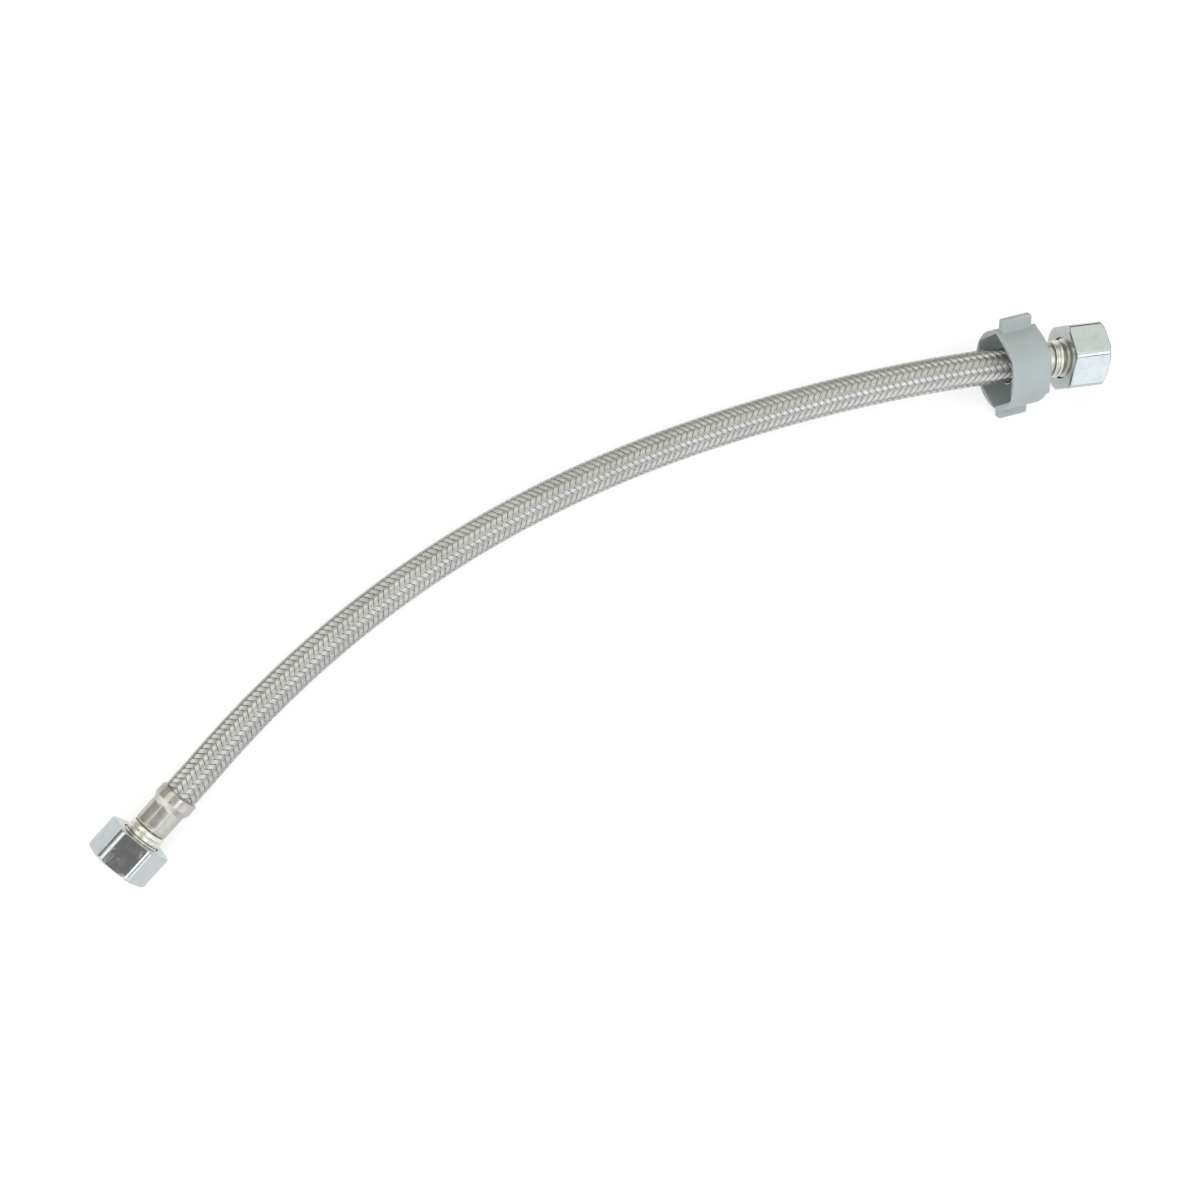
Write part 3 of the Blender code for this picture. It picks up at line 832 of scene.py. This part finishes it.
def w_step(fac, lo, hi, a=0.0, b=1.0):
    n = w_node("ShaderNodeMapRange", interpolation_type='SMOOTHSTEP')
    for k, v in (("From Min", lo), ("From Max", hi), ("To Min", a), ("To Max", b)):
        n.inputs[k].default_value = v
    W.links.new(fac, n.inputs["Value"])
    return n.outputs["Result"]


def w_math(op, a, b):
    n = w_node("ShaderNodeMath", operation=op)
    for i, v in enumerate((a, b)):
        if isinstance(v, (int, float)):
            n.inputs[i].default_value = v
        else:
            W.links.new(v, n.inputs[i])
    return n.outputs[0]


def w_mix(fac, a, b):
    n = w_node("ShaderNodeMix", data_type='RGBA')
    for sock, v in ((n.inputs[0], fac), (n.inputs[6], a), (n.inputs[7], b)):
        if isinstance(v, tuple):
            sock.default_value = (*v, 1.0)
        elif isinstance(v, (int, float)):
            sock.default_value = v
        else:
            W.links.new(v, sock)
    return n.outputs[2]


# a studio seen from the table: walls above a dark skirting, cool in front with a darker beam high
# up and warmer behind, a bright wall to the left, two wide light panels either side of a dim strip
# overhead, one dark patch in that strip, and a small low panel in front
def w_ramp(fac, stops):
    n = w_node("ShaderNodeValToRGB")
    els = n.color_ramp.elements
    while len(els) < len(stops):
        els.new(0.5)
    for e, (pos, rgb) in zip(els, stops):
        e.position = pos
        e.color = (*rgb, 1.0)
    W.links.new(fac, n.inputs["Fac"])
    return n.outputs["Color"]


way = w_node("ShaderNodeTexCoord").outputs["Generated"]
xyz = w_node("ShaderNodeSeparateXYZ")
W.links.new(way, xyz.inputs[0])
vx, vy, vz = xyz.outputs
front_wall = w_ramp(vz, [(0.0, (0.25, 0.23, 0.28)), (0.10, (0.30, 0.28, 0.34)), (0.14, (0.92, 0.93, 0.97)),
                         (0.54, (1.00, 1.02, 1.06)), (0.59, (0.50, 0.53, 0.62)),
                         (0.68, (0.55, 0.56, 0.66)), (0.72, (1.00, 1.00, 1.02)),
                         (1.0, (0.85, 0.85, 0.86))])
back_wall = w_ramp(vz, [(0.0, (0.16, 0.15, 0.15)), (0.30, (0.13, 0.13, 0.12)), (0.38, (0.85, 0.86, 0.80)),
                        (0.56, (1.22, 1.26, 1.12)), (0.74, (1.00, 1.02, 0.92)),
                        (1.0, (0.85, 0.86, 0.80))])


def w_band(fac, lo, hi, soft):
    return w_math('MULTIPLY', w_step(fac, lo - soft, lo + soft), w_step(fac, hi + soft, hi - soft))


def w_spot(direction, outer, inner):
    n = w_node("ShaderNodeVectorMath", operation='DOT_PRODUCT')
    W.links.new(way, n.inputs[0])
    n.inputs[1].default_value = direction
    return w_step(n.outputs["Value"], outer, inner)


seen = w_mix(w_step(vy, 0.15, -0.20), back_wall, front_wall)
seen = w_mix(w_step(vx, -0.50, -0.72), seen, (1.80, 1.80, 1.84))
seen = w_mix(w_math('MULTIPLY', w_band(vx, 0.46, 0.78, 0.05), w_step(vz, 0.62, 0.70)), seen, (1.35, 1.38, 1.30))
middle = w_band(vx, -0.46, 0.46, 0.06)
up = w_step(vz, 0.0, 0.3)
middle = w_math('MULTIPLY', middle, up)
seen = w_mix(w_math('MULTIPLY', middle, w_band(vy, 0.24, 0.60, 0.05)), seen, (1.90, 1.92, 1.78))
seen = w_mix(w_math('MULTIPLY', middle, w_step(vy, 0.66, 0.72)), seen, (0.42, 0.42, 0.38))
seen = w_mix(w_math('MULTIPLY', middle, w_band(vy, -0.62, -0.22, 0.05)), seen, (3.10, 3.14, 3.22))
seen = w_mix(w_spot((0.15, -0.95, 0.28), 0.955, 0.975), seen, (1.62, 1.67, 1.70))
seen = w_mix(w_spot((-0.016, -0.149, 0.989), 0.945, 0.982), seen, (0.31, 0.296, 0.282))
W.links.new(seen, back.inputs["Color"])
back.inputs["Strength"].default_value = 1.0


def soft_light(name, position, target, size, power, rgb):
    """A soft box that lights the scene without a mirror image of itself in the plating."""
    d = bpy.data.lights.new(name, 'AREA')
    d.shape = 'RECTANGLE'
    d.size, d.size_y = size
    d.energy = power
    d.color = rgb
    o = bpy.data.objects.new(name, d)
    bpy.context.scene.collection.objects.link(o)
    o.location = position
    o.rotation_euler = (Vector(target) - Vector(position)).to_track_quat('-Z', 'Y').to_euler()
    o.visible_glossy = False
    return o


soft_light("overhead_softbox", (0.0, -0.1, 1.3), (0, 0, 0), (2.2, 2.2), 12.5, (1.0, 0.985, 1.0))
